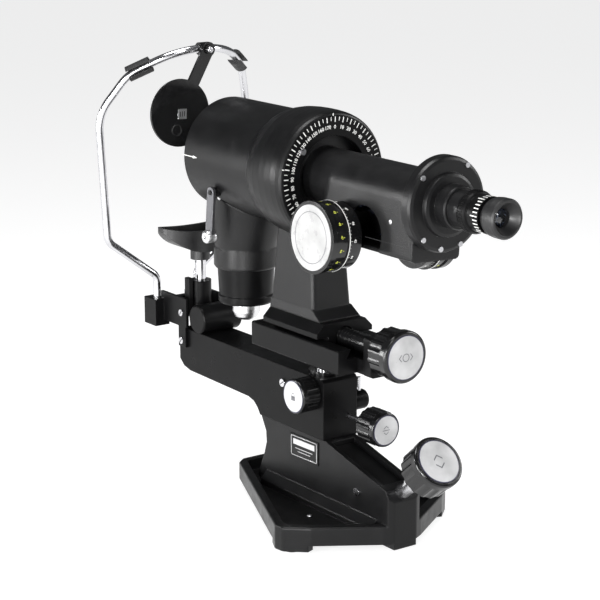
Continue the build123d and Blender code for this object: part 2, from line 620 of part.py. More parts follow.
def mire_plate():
    """Round target glass in the patient's end of the drum, with a hole for the telescope's view."""
    return cyl_y(54.6, HOUSING_END - 12, HOUSING_END - 7, 0, AXIS_Z) - cyl_y(14, 130, HOUSING_END, 0, AXIS_Z)


def latch_lever():
    """Flat lever on the head's left side, with a round end knob."""
    end_y, end_z = LEVER_END
    lean = atan2(end_y - LEVER_Y, LEVER_Z - end_z)
    bar = block(LEVER_X - 3, LEVER_X, -6, 6, -hypot(end_y - LEVER_Y, LEVER_Z - end_z), 0)
    bar = Pos(0, LEVER_Y, LEVER_Z) * Rot(degrees(lean), 0, 0) * bar
    bar += cyl_x(6, LEVER_X - 3, LEVER_X, LEVER_Y, LEVER_Z)
    bar += cyl_x(6.4, LEVER_X - 6.5, LEVER_X + 3.5, end_y, end_z)
    return bar - cyl_x(2.5 + RUN, LEVER_X - 4, LEVER_X + 1, LEVER_Y, LEVER_Z)


# ---- telescope ----------------------------------------------------------------------------------------------
def scale_ring():
    """Axis scale: a flat ring that turns in the head with the telescope, on a rear sleeve."""
    face = cyl_y(61.2, RING_Y, RING_Y + 8, 0, AXIS_Z) - cyl_y(41.5, RING_Y - 1, RING_Y + 9, 0, AXIS_Z)
    sleeve = cyl_y(HOUSING_BORE - RUN, RING_Y + 8, RING_Y + 30, 0, AXIS_Z)
    return rolled(face + (sleeve - cyl_y(49, RING_Y + 7, RING_Y + 31, 0, AXIS_Z)))


def telescope_body():
    """Round barrel with the squared lower case that carries the two power drums."""
    front, rear = FLANGE_Y[1], RING_Y + 88
    barrel = cyl_y(BARREL_R, front, rear, 0, AXIS_Z)
    web = cyl_y(49, RING_Y + 14, RING_Y + 20, 0, AXIS_Z)
    case = block(-BARREL_R, BARREL_R, front, RING_Y - 25, AXIS_Z - 56, AXIS_Z)
    case = fillet(case.edges().filter_by(Axis.Y).sort_by(Axis.Z)[:2], 5)
    body = barrel + web + case
    body -= cyl_y(BARREL_R - 3.5, front + 3, rear + 1, 0, AXIS_Z)
    body -= block(-BARREL_R + 3.5, BARREL_R - 3.5, front + 3, RING_Y - 29, AXIS_Z - 52.5, AXIS_Z)
    body -= cyl_x(28, -BARREL_R - 1, -BARREL_R + 6, RIGHT_DRUM_Y + 1, DRUM_Z + 6)
    body -= cyl_x(5 + RUN, -BARREL_R - 1, -BARREL_R + 5, LEFT_DRUM_Y, DRUM_Z)
    body -= cyl_x(5 + RUN, BARREL_R - 5, BARREL_R + 1, RIGHT_DRUM_Y, DRUM_Z)
    return rolled(body - cyl_y(12, front - 1, front + 4, 0, AXIS_Z))


def operator_flange():
    """Round end casting of the telescope, with the stepped tube that the eyepiece screws into."""
    y0, y1 = FLANGE_Y
    profile = [(14, y1), (FLANGE_R - 1.5, y1), (FLANGE_R, y1 - 1.5), (FLANGE_R, y0 + 4),
               (FLANGE_R - 1.2, y0 + 1.2), (FLANGE_R - 4, y0), (31, y0), (30, y0 - 4), (27, y0 - 5),
               (21, y0 - 5), (21, y0 - 18), (20, y0 - 19.5), (17.6, y0 - 19.5), (17.6, -235), (14, -235)]
    return rolled(turned_y(profile, 0, AXIS_Z))


def telescope_screws():
    """Screw heads on the axis scale and on the end casting."""
    screws = []
    for angle in (20, 145, 262):
        x, z = 47 * cos(radians(angle)), AXIS_Z + 47 * sin(radians(angle))
        screws.append(rolled(cyl_y(3.2, RING_Y - 1.2, RING_Y, x, z)))
    for angle in (-132, -99, -66, -20, 60, 140):
        x, z = 42 * cos(radians(angle)), AXIS_Z + 42 * sin(radians(angle))
        screws.append(rolled(cyl_y(2.6, FLANGE_Y[0] - 1.2, FLANGE_Y[0], x, z)))
    return group(screws)


def objective_lens():
    """Front lens in its cell, at the patient's end of the barrel."""
    y = RING_Y + 88
    return rolled(turned_y([(0, y - 9), (25.5, y - 7), (25.5, y - 2), (0, y)], 0, AXIS_Z))


def prism(at_y):
    """Measuring prism on its carriage, moved along the telescope by a power drum."""
    carriage = block(-14, 14, at_y - 14, at_y + 14, AXIS_Z - 24, AXIS_Z - 19)
    wedge = side_plate([(at_y - 9, AXIS_Z - 19), (at_y + 9, AXIS_Z - 19), (at_y + 4, AXIS_Z + 6),
                        (at_y - 4, AXIS_Z + 6)], -11, 11)
    return rolled(carriage + wedge)


def to_side(sign, near, far):
    """Lower and upper x of a stretch that lies between two distances from the middle, on one side."""
    return sorted((sign * near, sign * far))


def power_drum(sign, y, faces):
    """Power drum on one side of the telescope, with its spindle."""
    x_in, x_out = faces
    band = x_in + 0.4 * (x_out - x_in)
    layers = [(5, x_in - 4, x_in), (DRUM_R - 2.5, x_in, band), (DRUM_R - 0.4, band, band + 2),
              (DRUM_R - 1.5, band + 2, x_out - 7), (DRUM_R, x_out - 7, x_out - 0.8)]
    body = None
    for r, near, far in layers:
        layer = cyl_x(r, *to_side(sign, near, far), y, DRUM_Z)
        body = layer if body is None else body + layer
    return rolled(body - cyl_x(32, *to_side(sign, x_out - 2.2, x_out + 1), y, DRUM_Z))


def drum_cap(sign, y, x_out):
    """White inlay in a power drum's end."""
    return rolled(cyl_x(32, *to_side(sign, x_out - 2.2, x_out), y, DRUM_Z))


# ---- eyepiece -------------------------------------------------------------------------------------------

def dioptre_ring():
    """Knurled ring with the eyepiece's focus marks."""
    profile = [(15.2, -235.3), (19.5, -235.3), (20.2, -237), (20.2, -244), (19, -246), (17.6, -246.5),
               (17.6, -262), (15.2, -262)]
    return rolled(turned_y(profile, 0, AXIS_Z))


def eyepiece_tube():
    """Inner tube that moves along the axis as the ring turns."""
    profile = [(9, -193), (13.7, -193), (13.7, -239.5), (15, -239.5), (15, -271), (9, -271)]
    return rolled(turned_y(profile, 0, AXIS_Z))


def eyecup():
    """Moulded eyecup with a dished face."""
    profile = [(15, -266), (17.2, -266), (18.4, -269), (19, -274), (19, 2 - END_Y), (17.5, -END_Y),
               (15.5, -END_Y), (9, 8 - END_Y), (9, -271), (15, -271)]
    return rolled(turned_y(profile, 0, AXIS_Z))


def eye_lens():
    """Eye lens in the eyepiece's front."""
    dome = turned_y([(0, -275.5), (5, -274.5), (9, -272), (9, -271), (0, -271)], 0, AXIS_Z)
    return rolled(dome + cyl_y(9, -271, -265, 0, AXIS_Z))


def named_parts():
    """Every piece by its node's name."""
    updown_knob, updown_cap = placed_knob(UPDOWN, along_knob(KNOB_FACE), KNOB_DIR)
    focus_knob, focus_cap = placed_knob(FOCUS, (0, FOCUS_FACE_Y, FOCUS_Z), (0, -1, 0))
    chin_knob, chin_cap = placed_knob(CHIN, (CHIN_KNOB[0], CHIN_FACE_Y, CHIN_KNOB[1]), (0, -1, 0))
    lock_knob, lock_cap = placed_knob(LOCK, (LOCK_FACE_X, *LOCK_AT), (-1, 0, 0))
    updown_knob += updown_hub()
    hoop = headrest_hoop()
    lock_knob += cyl_x(3, LOCK_FACE_X + 4, -POST_R - 1, *LOCK_AT)
    return {
        # base, arm and headrest
        "base_casting": base_casting(), "foot_pads": foot_pads(), "slope_cover": slope_cover(),
        "updown_bearing": updown_bearing(), "name_plate": name_plate(), "side_screws": side_screws(),
        "arm_casting": arm_casting(), "lift_guide": lift_guide(), "chin_housing": chin_housing(),
        "chin_post_guide": chin_post_guide(), "headrest_bracket": headrest_bracket(),
        "headrest_hoop": hoop, "forehead_pads": forehead_pads(hoop), "occluder_pivot": occluder_pivot(hoop),
        "occluder_blade": occluder_blade(),
        # lift and lock
        "lift_post": lift_post(), "lift_screw": lift_screw(), "cross_shaft": cross_shaft(),
        "updown_shaft": updown_shaft(), "updown_knob": updown_knob, "updown_cap": updown_cap,
        "lock_knob": lock_knob, "lock_cap": lock_cap,
        # chin rest
        "chin_knob": chin_knob, "chin_cap": chin_cap, "chin_shaft": chin_shaft(),
        "chin_drive_shaft": chin_drive_shaft(), "chin_screw": chin_screw(), "chin_post": chin_post(),
        "chin_cup": chin_cup(),
        # slide and focus
        "slide_block": slide_block(), "focus_bearing": focus_bearing(), "focus_screw": focus_screw(),
        "focus_knob": focus_knob, "focus_cap": focus_cap, "saddle": saddle(),
        # head and lamp
        "pedestal": pedestal(), "drum_housing": drum_housing(), "lamp_elbow": lamp_elbow(),
        "lamp_cup": lamp_cup(), "lamp_socket": lamp_socket(), "lamp_bulb": lamp_bulb(),
        "mirror_plate": mirror_plate(), "mire_plate": mire_plate(), "latch_lever": latch_lever(),
        # telescope
        "scale_ring": scale_ring(), "telescope_body": telescope_body(), "operator_flange": operator_flange(),
        "objective_lens": objective_lens(), "telescope_screws": telescope_screws(),
        "left_prism": prism(LEFT_DRUM_Y + 4.5), "right_prism": prism(RIGHT_DRUM_Y - 4),
        "left_power_drum": power_drum(-1, LEFT_DRUM_Y, DRUM_X),
        "left_drum_cap": drum_cap(-1, LEFT_DRUM_Y, DRUM_X[1]),
        "right_power_drum": power_drum(1, RIGHT_DRUM_Y, RIGHT_DRUM_X),
        "right_drum_cap": drum_cap(1, RIGHT_DRUM_Y, RIGHT_DRUM_X[1]),
        "dioptre_ring": dioptre_ring(), "eyepiece_tube": eyepiece_tube(), "eyecup": eyecup(),
        "eye_lens": eye_lens(),
    }


if __name__ == "__main__":
    os.makedirs("parts", exist_ok=True)
    for node, shape in named_parts().items():
        export_step(shape, f"parts/{node}.step")
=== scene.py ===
"""Keratometer on a pale table: finishes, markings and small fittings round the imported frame."""
from math import cos, pi, radians, sin

import bmesh
import bpy
from mathutils import Matrix, Vector


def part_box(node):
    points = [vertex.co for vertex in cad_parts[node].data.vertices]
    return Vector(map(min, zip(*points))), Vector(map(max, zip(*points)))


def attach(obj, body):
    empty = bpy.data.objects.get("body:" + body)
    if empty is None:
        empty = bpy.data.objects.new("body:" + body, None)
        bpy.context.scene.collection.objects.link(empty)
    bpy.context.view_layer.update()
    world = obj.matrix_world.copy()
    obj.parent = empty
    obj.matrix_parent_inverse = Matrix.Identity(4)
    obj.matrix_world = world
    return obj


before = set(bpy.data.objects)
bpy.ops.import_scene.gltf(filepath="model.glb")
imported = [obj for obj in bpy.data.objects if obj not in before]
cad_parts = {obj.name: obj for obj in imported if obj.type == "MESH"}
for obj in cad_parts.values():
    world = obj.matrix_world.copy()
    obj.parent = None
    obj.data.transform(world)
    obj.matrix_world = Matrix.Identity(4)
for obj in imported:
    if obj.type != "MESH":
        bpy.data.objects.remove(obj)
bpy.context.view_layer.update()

MM = 0.001
SKIN = 0.08 * MM              # how far printed marks stand off the surface under them

# places in the row frame, in metres
AXIS_Z = 0.358                # height of the telescope's axis
RING_Y = -0.023               # front face of the scale ring
ROLL = radians(2.5)           # how far the telescope is turned at rest
DRUM_Z = AXIS_Z - 0.0465
DRUMS = {"left": (-1, -0.0805, 0.068), "right": (1, -0.113, 0.0625)}    # side, Y, outer face's X
DRUM_IN = 0.031               # inner face's X, on either side
DRUM_R = 0.0355
KNOB_TILT = radians(40)
KNOB_DIR = Vector((0, -cos(KNOB_TILT), sin(KNOB_TILT)))
TO_OPERATOR = (0, -1, 0)
TO_LEFT = (-1, 0, 0)


# ---- materials -------------------------------------------------------------------------------------
class Paint:
    """One node material under construction."""

    def __init__(self, name, colour, rough, metallic=0.0, **sockets):
        self.mat = bpy.data.materials.new(name)
        self.mat.use_nodes = True
        self.tree = self.mat.node_tree
        self.bsdf = self.tree.nodes["Principled BSDF"]
        self.bsdf.inputs["Base Color"].default_value = (*colour, 1)
        self.bsdf.inputs["Roughness"].default_value = rough
        self.bsdf.inputs["Metallic"].default_value = metallic
        for key, value in sockets.items():
            self.bsdf.inputs[key.replace("_", " ")].default_value = value
        self.coords = self.node("ShaderNodeTexCoord").outputs["Object"]
        self.normal = None

    def node(self, kind, **settings):
        """Adds a shader node with the given settings."""
        made = self.tree.nodes.new(kind)
        for key, value in settings.items():
            setattr(made, key, value)
        return made

    def link(self, output, socket):
        """Feeds an output into a socket."""
        self.tree.links.new(output, socket)

    def noise(self, scale, detail):
        """Noise value at so many features per metre."""
        tex = self.node("ShaderNodeTexNoise")
        tex.inputs["Scale"].default_value = scale
        tex.inputs["Detail"].default_value = detail
        self.link(self.coords, tex.inputs["Vector"])
        return tex.outputs["Fac"]

    def spread(self, value, low, high):
        """Maps the usual span of a noise value to a range."""
        ramp = self.node("ShaderNodeMapRange")
        ramp.inputs["From Min"].default_value = 0.3
        ramp.inputs["From Max"].default_value = 0.7
        ramp.inputs["To Min"].default_value = low
        ramp.inputs["To Max"].default_value = high
        self.link(value, ramp.inputs["Value"])
        return ramp.outputs["Result"]

    def roughness(self, value, low, high):
        """Roughness that varies between two values."""
        self.link(self.spread(value, low, high), self.bsdf.inputs["Roughness"])

    def tint(self, value, dark, light):
        """Colour that varies between two shades."""
        mix = self.node("ShaderNodeMix", data_type="RGBA")
        mix.inputs["A"].default_value = (*dark, 1)
        mix.inputs["B"].default_value = (*light, 1)
        self.link(self.spread(value, 0, 1), mix.inputs["Factor"])
        self.link(mix.outputs["Result"], self.bsdf.inputs["Base Color"])

    def bump(self, value, height_mm):
        """Adds relief of that height; calls stack up."""
        node = self.node("ShaderNodeBump")
        node.inputs["Strength"].default_value = 1.0
        node.inputs["Distance"].default_value = height_mm * MM
        self.link(value, node.inputs["Height"])
        if self.normal is not None:
            self.link(self.normal, node.inputs["Normal"])
        self.normal = node.outputs["Normal"]
        self.link(self.normal, self.bsdf.inputs["Normal"])

    def soft_edges(self, radius_mm):
        """Rounds the look of sharp edges; called before any bump."""
        node = self.node("ShaderNodeBevel", samples=4)
        node.inputs["Radius"].default_value = radius_mm * MM
        self.normal = node.outputs["Normal"]
        self.link(self.normal, self.bsdf.inputs["Normal"])


BLUE = 1.06                   # how much bluer than grey the black enamel is
SHADE_STEP = 1.25             # how far its lighter and darker patches go either way


def shades(level):
    """A dark and a lighter grey round a level."""
    dark, light = level / SHADE_STEP, level * SHADE_STEP
    return (dark, dark, level * BLUE / SHADE_STEP), (light, light, level * BLUE * SHADE_STEP)


def enamel(name, level, rough, grain_mm, grain, edge_mm, hammer=None, shine=0.24):
    """Black enamel with fine grain, faint patches, rounded edges and, if asked for, hammered relief."""
    paint = Paint(name, (level, level, level * BLUE), rough, Specular_IOR_Level=shine)
    paint.soft_edges(edge_mm)
    paint.tint(paint.noise(26, 4), *shades(level))
    paint.roughness(paint.noise(60, 5), rough - 0.06, rough + 0.07)
    paint.bump(paint.noise(grain, 3), grain_mm)
    if hammer:
        scale, height_mm = hammer
        paint.bump(paint.noise(scale, 1), height_mm)
    return paint.mat


def scaled(colour, factor):
    """A lighter or darker version of a colour, never above full."""
    return tuple(min(part * factor, 1) for part in colour)


def plastic(name, level, rough, edge_mm, tone=(1, 1, 1.05)):
    """Moulded plastic with faint flow marks and handling wear."""
    colour = scaled(tone, level)
    paint = Paint(name, colour, rough, Specular_IOR_Level=0.5)
    paint.soft_edges(edge_mm)
    paint.tint(paint.noise(40, 5), scaled(colour, 0.8), scaled(colour, 1.2))
    paint.roughness(paint.noise(140, 6), rough - 0.07, rough + 0.1)
    paint.bump(paint.noise(900, 2), 0.012)
    return paint.mat


def metal(name, colour, rough, edge_mm, relief_mm=0.006):
    """Bare or plated metal with the variation that handling leaves."""
    paint = Paint(name, colour, rough, 1.0)
    paint.soft_edges(edge_mm)
    paint.tint(paint.noise(30, 4), scaled(colour, 0.88), scaled(colour, 1.08))
    paint.roughness(paint.noise(200, 6), max(rough - 0.05, 0.02), rough + 0.08)
    paint.bump(paint.noise(500, 3), relief_mm)
    return paint.mat


def glass(name, colour, rough, coat=0.6):
    """Coated glass."""
    paint = Paint(name, colour, rough, Transmission_Weight=1.0, IOR=1.5, Coat_Weight=coat,
                  Coat_Roughness=0.03)
    paint.tint(paint.noise(35, 3), scaled(colour, 0.93), colour)
    paint.roughness(paint.noise(90, 5), max(rough - 0.02, 0.0), rough + 0.03)
    return paint.mat


def ink(name, colour, rough=0.45):
    """Printed or filled marking."""
    paint = Paint(name, colour, rough)
    paint.tint(paint.noise(500, 4), scaled(colour, 0.86), colour)
    paint.roughness(paint.noise(300, 4), rough - 0.08, rough + 0.12)
    return paint.mat


LOOKS = {
    "cast": enamel("cast_enamel", 0.003, 0.32, 0.03, 900, 1.8, shine=0.1),
    "cast_hammer": enamel("cast_hammertone", 0.004, 0.34, 0.02, 1400, 2.2, (800, 0.1), 0.22),
    "hammer": enamel("hammertone", 0.005, 0.36, 0.02, 1400, 2.6, (800, 0.14), 0.3),
    "hammer_trim": enamel("hammertone_trim", 0.005, 0.34, 0.02, 1400, 0.9, (800, 0.07), 0.26),
    "satin": enamel("satin_enamel", 0.003, 0.34, 0.03, 1200, 1.2, shine=0.12),
    "crackle": enamel("fine_crackle", 0.004, 0.34, 0.02, 1400, 1.0, (900, 0.06), 0.24),
    "gloss": plastic("gloss_moulding", 0.005, 0.16, 0.35),
    "matt": plastic("matt_moulding", 0.008, 0.4, 0.5),
    "rubber": plastic("rubber", 0.007, 0.6, 0.6),
    "chrome": metal("polished_plating", (0.66, 0.66, 0.68), 0.17, 0.3, relief_mm=0.002),
    "steel": metal("turned_steel", (0.55, 0.55, 0.57), 0.28, 0.3),
    "brass": metal("turned_brass", (0.66, 0.47, 0.19), 0.27, 0.3),
    "alloy": metal("satin_alloy", (0.74, 0.74, 0.75), 0.3, 0.4),
    "inlay": plastic("pale_inlay", 0.42, 0.34, 0.3, (1, 1, 1.01)),
    "enamel_white": plastic("white_enamel", 0.34, 0.3, 0.3, (1, 1, 0.995)),
    "gunmetal": metal("dark_lever_metal", (0.16, 0.16, 0.17), 0.36, 0.4),
    "lens": glass("coated_lens", (0.55, 0.66, 0.95), 0.02, 1.0),
    "bulb": glass("lamp_glass", (0.95, 0.95, 0.9), 0.04),
    "mire": glass("frosted_target", (0.9, 0.93, 0.88), 0.45, 0.2),
    "mirror": metal("silvering", (0.86, 0.87, 0.89), 0.05, 0.2, relief_mm=0.0005),
    "white_ink": ink("white_ink", (0.82, 0.82, 0.8)),
    "lime_ink": ink("lime_ink", (0.62, 0.66, 0.08)),
    "red_ink": ink("red_ink", (0.55, 0.02, 0.015)),
    "grey_ink": ink("grey_ink", (0.12, 0.12, 0.13)),
    "blue_ink": ink("dark_ink", (0.02, 0.02, 0.05)),
    # near-black: the painted shade in the side screws' slots, and also the case seam and the eye cover
    # tag's lines
    "dark": ink("dark_recess", (0.006, 0.006, 0.007), 0.6),
}

NODE_LOOKS = {
    "cast": ["arm_casting"],
    "cast_hammer": ["base_casting"],
    "hammer": ["telescope_body", "lamp_elbow", "pedestal"],
    "hammer_trim": ["operator_flange"],
    "crackle": ["drum_housing", "slope_cover", "name_plate"],
    "satin": ["chin_housing", "headrest_bracket", "slide_block", "focus_bearing", "saddle", "scale_ring",
              "dioptre_ring", "eyepiece_tube", "lamp_cup", "chin_post_guide"],
    "gloss": ["lift_guide", "updown_knob", "lock_knob", "chin_knob", "focus_knob", "left_power_drum",
              "right_power_drum", "occluder_blade", "occluder_pivot", "focus_screw"],
    "matt": ["chin_cup", "eyecup"],
    "rubber": ["foot_pads", "forehead_pads"],
    "chrome": ["updown_bearing", "side_screws", "headrest_hoop", "lift_post", "chin_post"],
    "steel": ["lift_screw", "cross_shaft", "updown_shaft", "chin_shaft", "chin_drive_shaft",
              "telescope_screws"],
    "brass": ["chin_screw"],
    "alloy": ["lamp_socket"],
    "gunmetal": ["latch_lever"],
    "inlay": ["updown_cap", "lock_cap", "chin_cap", "focus_cap"],
    "enamel_white": ["left_drum_cap", "right_drum_cap"],
    "lens": ["objective_lens", "eye_lens", "left_prism", "right_prism"],
    "bulb": ["lamp_bulb"],
    "mire": ["mire_plate"],
    "mirror": ["mirror_plate"],
}


def dress(node, look):
    """Gives a CAD node its finish."""
    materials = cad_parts[node].data.materials
    materials.clear()
    materials.append(LOOKS[look])


for look_name, node_names in NODE_LOOKS.items():
    for node_name in node_names:
        dress(node_name, look_name)


# ---- mesh pieces -----------------------------------------------------------------------------------
class Build:
    """Collects mesh work into one piece."""

    def __init__(self):
        self.bm = bmesh.new()

    def box(self, size, place):
        """Plain bar in the place's axes."""
        made = bmesh.ops.create_cube(self.bm, size=1.0)["verts"]
        bmesh.ops.transform(self.bm, matrix=place @ Matrix.Diagonal((*size, 1)), verts=made)

    def ring(self, profile, place, steps=96):
        """Body of revolution about the place's Z from closed (radius, z) points."""
        rows = []
        for i in range(steps):
            turn = 2 * pi * i / steps
            points = [place @ Vector((r * cos(turn), r * sin(turn), z)) for r, z in profile]
            rows.append([self.bm.verts.new(point) for point in points])
        count = len(profile)
        for i in range(steps):
            a, b = rows[i], rows[(i + 1) % steps]
            for j in range(count):
                k = (j + 1) % count
                self.bm.faces.new((a[j], b[j], b[k], a[k]))

    def band(self, radii, heights, place, steps=96):
        """Ring of rectangular section between two radii and two heights."""
        (inner, outer), (low, high) = radii, heights
        self.ring([(inner, low), (outer, low), (outer, high), (inner, high)], place, steps)

    def plate(self, points, thick, place):
        """Flat outline of (x, y) points, raised by its thickness."""
        low = [self.bm.verts.new(place @ Vector((x, y, 0))) for x, y in points]
        high = [self.bm.verts.new(place @ Vector((x, y, thick))) for x, y in points]
        self.bm.faces.new(list(reversed(low)))
        self.bm.faces.new(high)
        count = len(points)
        for i in range(count):
            k = (i + 1) % count
            self.bm.faces.new((low[i], low[k], high[k], high[i]))

    def text(self, words, height, place):
        """Raised figures centred on the place, reading along its X."""
        mesh = glyphs(words)
        start = len(self.bm.verts)
        self.bm.from_mesh(mesh)
        self.bm.verts.ensure_lookup_table()
        fit = place @ Matrix.Diagonal((height, height, 1, 1))
        bmesh.ops.transform(self.bm, matrix=fit, verts=self.bm.verts[start:])

    def done(self, name, look, body, slot, smooth=False):
        """Finishes the piece and hands it to its body."""
        bmesh.ops.recalc_face_normals(self.bm, faces=self.bm.faces)
        mesh = bpy.data.meshes.new(name)
        self.bm.to_mesh(mesh)
        self.bm.free()
        for polygon in mesh.polygons:
            polygon.use_smooth = smooth
        piece = bpy.data.objects.new(name, mesh)
        bpy.context.scene.collection.objects.link(piece)
        mesh.materials.append(LOOKS[look])
        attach(piece, body)


GLYPHS = {}


def glyphs(words):
    """Mesh of some figures, one unit high and centred, a little raised."""
    if words not in GLYPHS:
        curve = bpy.data.curves.new("figures", "FONT")
        curve.body = words
        curve.align_x = "CENTER"
        curve.align_y = "CENTER"
        curve.size = 1.4
        curve.resolution_u = 2
        curve.offset = 0.02
        curve.extrude = SKIN
        holder = bpy.data.objects.new("figures", curve)
        bpy.context.scene.collection.objects.link(holder)
        graph = bpy.context.evaluated_depsgraph_get()
        GLYPHS[words] = bpy.data.meshes.new_from_object(holder.evaluated_get(graph))
        bpy.data.objects.remove(holder)
        bpy.data.curves.remove(curve)
    return GLYPHS[words]


def axes(origin, x, y):
    """Place with the given X and Y directions."""
    x, y = Vector(x).normalized(), Vector(y).normalized()
    z = x.cross(y)
    turn = Matrix((x, y, z)).transposed().to_4x4()
    return Matrix.Translation(Vector(origin)) @ turn


TO_AXIS = Matrix.Translation((0, 0, AXIS_Z))
ROLLED = TO_AXIS @ Matrix.Rotation(ROLL, 4, "Y") @ Matrix.Translation((0, 0, -AXIS_Z))


def moved(x, y):
    """Shift in a place's own plane."""
    return Matrix.Translation((x, y, 0))


def face_place(degrees, radius):
    """Place on the scale ring's face, at a clock angle; its Y points outward."""
    angle = radians(degrees)
    out = Vector((sin(angle), 0, cos(angle)))
    side = Vector((cos(angle), 0, -sin(angle)))
    return axes(Vector((0, RING_Y, AXIS_Z)) + out * radius, side, out)


def round_place(angle, y, radius):
    """Place on a round tube about the telescope's axis; its Y points away from the operator."""
    out = Vector((cos(angle), 0, sin(angle)))
    side = Vector((-sin(angle), 0, cos(angle)))
    return ROLLED @ axes(Vector((0, y, AXIS_Z)) + out * radius, side, (0, 1, 0))


# ---- axis scale ------------------------------------------------------------------------------------
SCALE_R = 60.4                # outer ends of the axis scale's strokes, in mm
SCALE_FIGURES_R = 50.0
INDEX_R = 62.6


def axis_scale():
    """White graduations and figures on the flat ring in front of the head."""
    marks = Build()
    for i in range(72):
        length, width = (4.0, 0.7) if i % 2 else (5.4, 1.0)
        place = ROLLED @ face_place(i * 5, (SCALE_R - length / 2) * MM)
        marks.box((width * MM, length * MM, 2 * SKIN), place)
    for i in range(36):
        words = str(i * 10 % 180)
        marks.text(words, 3.7 * MM, ROLLED @ face_place(i * 10, SCALE_FIGURES_R * MM))
    marks.done("axis_marks", "white_ink", "telescope", "white_inlay")


def index_marks():
    """Fixed marks on the head's front lip, above and at both sides."""
    marks = Build()
    for degrees in (0, -78, 90):
        marks.box((0.9 * MM, 2.6 * MM, 3 * SKIN), face_place(degrees, INDEX_R * MM))
    marks.done("index_marks", "white_ink", "head", "white_inlay")


axis_scale()
index_marks()


# ---- power drums -----------------------------------------------------------------------------------
RED_STEP = 2                  # where the inner band's red figure stands in place of a white one
RED_FIGURE = "42"


def drum_place(side, x, angle, radius):
    """Place on a drum's rim; its X runs round the rim and its Y towards the telescope."""
    sign, y, _ = DRUMS[side]
    out = Vector((0, sin(angle), cos(angle)))
    tangent = Vector((0, cos(angle), -sin(angle))) * sign
    origin = Vector((sign * x, y, DRUM_Z)) + out * radius
    return ROLLED @ axes(origin, tangent, out.cross(tangent))


def drum_line(side, band_x, turned):
    """White line round the rim where the figured band starts."""
    line = Build()
    r = DRUM_R - 0.4 * MM
    line.band((r - 0.3 * MM, r + SKIN), (band_x + 0.5 * MM, band_x + 1.3 * MM), turned)
    line.done(side + "_drum_line", "white_ink", side + "_drum", "white_inlay")


def drum_scale(side, band_x):
    """White strokes and figures of the inner band, one of them in red."""
    radius = DRUM_R - 2.5 * MM
    ticks, red = Build(), Build()
    for i in range(60):
        length = 2.0 if i % 5 else 3.4
        place = drum_place(side, band_x - (0.6 + length / 2) * MM, radians(i * 6), radius)
        ticks.box((0.45 * MM, length * MM, 2 * SKIN), place)
    for i in range(12):
        place = drum_place(side, band_x - 6.8 * MM, radians(i * 30), radius)
        if i == RED_STEP:
            red.text(RED_FIGURE, 2.7 * MM, place)
        else:
            ticks.text(str(36 + i), 2.7 * MM, place)
    ticks.done(side + "_drum_ticks", "white_ink", side + "_drum", "white_inlay")
    red.done(side + "_drum_red_figure", "red_ink", side + "_drum", "white_inlay")


def drum_figures(side, x):
    """Yellow-green figures and strokes of the outer band."""
    radius = DRUM_R - 1.5 * MM
    lime = Build()
    for i in range(16):
        angle = radians(i * 22.5 + 8)
        lime.text(str(35 + i), 2.5 * MM, drum_place(side, x, angle, radius))
        lime.box((0.4 * MM, 1.6 * MM, 2 * SKIN), drum_place(side, x - 3.0 * MM, angle, radius))
    lime.done(side + "_drum_figures", "lime_ink", side + "_drum", "white_inlay")


def drum_marks(side):
    """Graduations, figures and line rings on one power drum."""
    sign, y, outer = DRUMS[side]
    width = outer - DRUM_IN
    band_x = DRUM_IN + 0.4 * width
    turned = ROLLED @ axes((0, y, DRUM_Z), (0, sign, 0), (0, 0, 1))
    drum_line(side, band_x, turned)
    drum_scale(side, band_x)
    drum_figures(side, band_x + 0.27 * width)
    rim = Build()
    rim.band((24.8 * MM, 25.6 * MM), (outer - 0.1 * MM, outer + SKIN), turned)
    rim.done(side + "_drum_cap_line", "grey_ink", side + "_drum", "gloss_black")


for drum_side in DRUMS:
    drum_marks(drum_side)


# ---- eyepiece --------------------------------------------------------------------------------------
DIOPTRE_Y = -0.2612           # the strokes' near ends
DIOPTRE_R = 17.62             # the strokes' distance from the axis, in mm
GRIP_Y = -0.2405              # middle of the knurled grip
GRIP_R = 20.1


def dioptre_marks():
    """White strokes round the dioptre ring."""
    marks = Build()
    for i in range(30):
        length = (6.0 if i % 5 else 9.0) * MM
        place = round_place(2 * pi * i / 30, DIOPTRE_Y + length / 2, DIOPTRE_R * MM)
        marks.box((0.9 * MM, length, 2 * SKIN), place)
    marks.done("dioptre_marks", "white_ink", "dioptre", "white_inlay")


def dioptre_knurl():
    """Knurling round the dioptre ring's grip."""
    ribs = Build()
    for i in range(60):
        ribs.box((1.0 * MM, 6.4 * MM, 0.7 * MM), round_place(2 * pi * i / 60, GRIP_Y, GRIP_R * MM))
    ribs.done("dioptre_knurl", "satin", "dioptre", "satin_black")


dioptre_marks()
dioptre_knurl()


# ---- head details ----------------------------------------------------------------------------------
ARROW = [(-13, -0.35), (5, -0.35), (5, -1.5), (13, 0), (5, 1.5), (5, 0.35), (-13, 0.35)]
LEVER_KNOB = [(0.1, -8.2), (4.5, -8.0), (6.2, -7.2), (6.9, -5.8),
              (6.9, 2.6), (6.2, 4.1), (4.5, 4.9), (0.1, 5.0)]


def in_mm(points):
    """Outline or profile given in millimetres, in metres."""
    return [(a * MM, b * MM) for a, b in points]


def side_pointer():
    """White pointer on the head's left side, level with the axis."""
    arrow = Build()
    arrow.plate(in_mm(ARROW), 2 * SKIN, axes((-0.05902, 0.148, 0.3605), TO_OPERATOR, (0, 0, 1)))
    arrow.done("side_pointer", "white_ink", "head", "white_inlay")


def screw_head(build, at, way, radius):
    """Small domed head whose axis points along the way."""
    x = Vector(way).orthogonal()
    profile = [(0.02 * radius, 0), (radius, 0), (radius, 0.25 * radius), (0.7 * radius, 0.45 * radius),
               (0.02 * radius, 0.5 * radius)]
    build.ring(profile, axes(at, x, Vector(way).cross(x)), 24)


